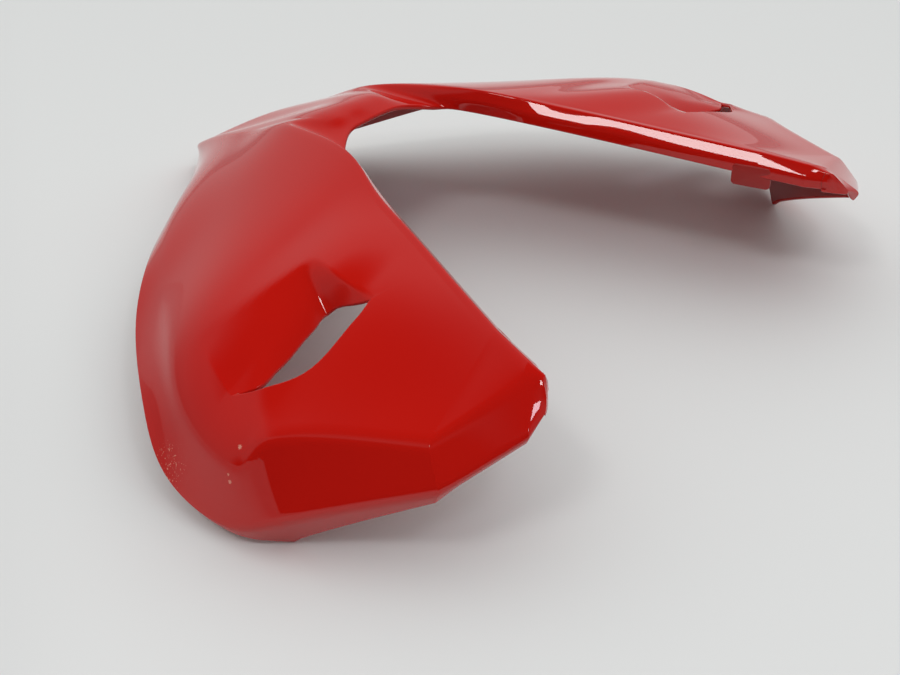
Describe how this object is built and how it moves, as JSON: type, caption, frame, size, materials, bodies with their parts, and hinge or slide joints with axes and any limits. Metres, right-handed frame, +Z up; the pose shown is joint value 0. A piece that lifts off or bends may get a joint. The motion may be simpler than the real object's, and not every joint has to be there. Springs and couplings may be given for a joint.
{
  "type": "headlight cowl",
  "caption": "Moulded red plastic front cowl for a motorbike, a domed nose with swept wings around a U-shaped opening, scooped air vents, a rolled inner flange and fixing tabs.",
  "frame": {"origin": "centre of the bounding box at the ground under the cowl", "axes": "+X across the bike to its left side, -Y towards the nose, +Z up as the cowl lies on its nose and lower lips"},
  "size_m": [0.421, 0.3622, 0.091],
  "materials": {
    "red_paint": "clear-coated gloss red"
  },
  "bodies": {
    "root": {"headlight_cowl": "red_paint"}
  },
  "joints": []
}
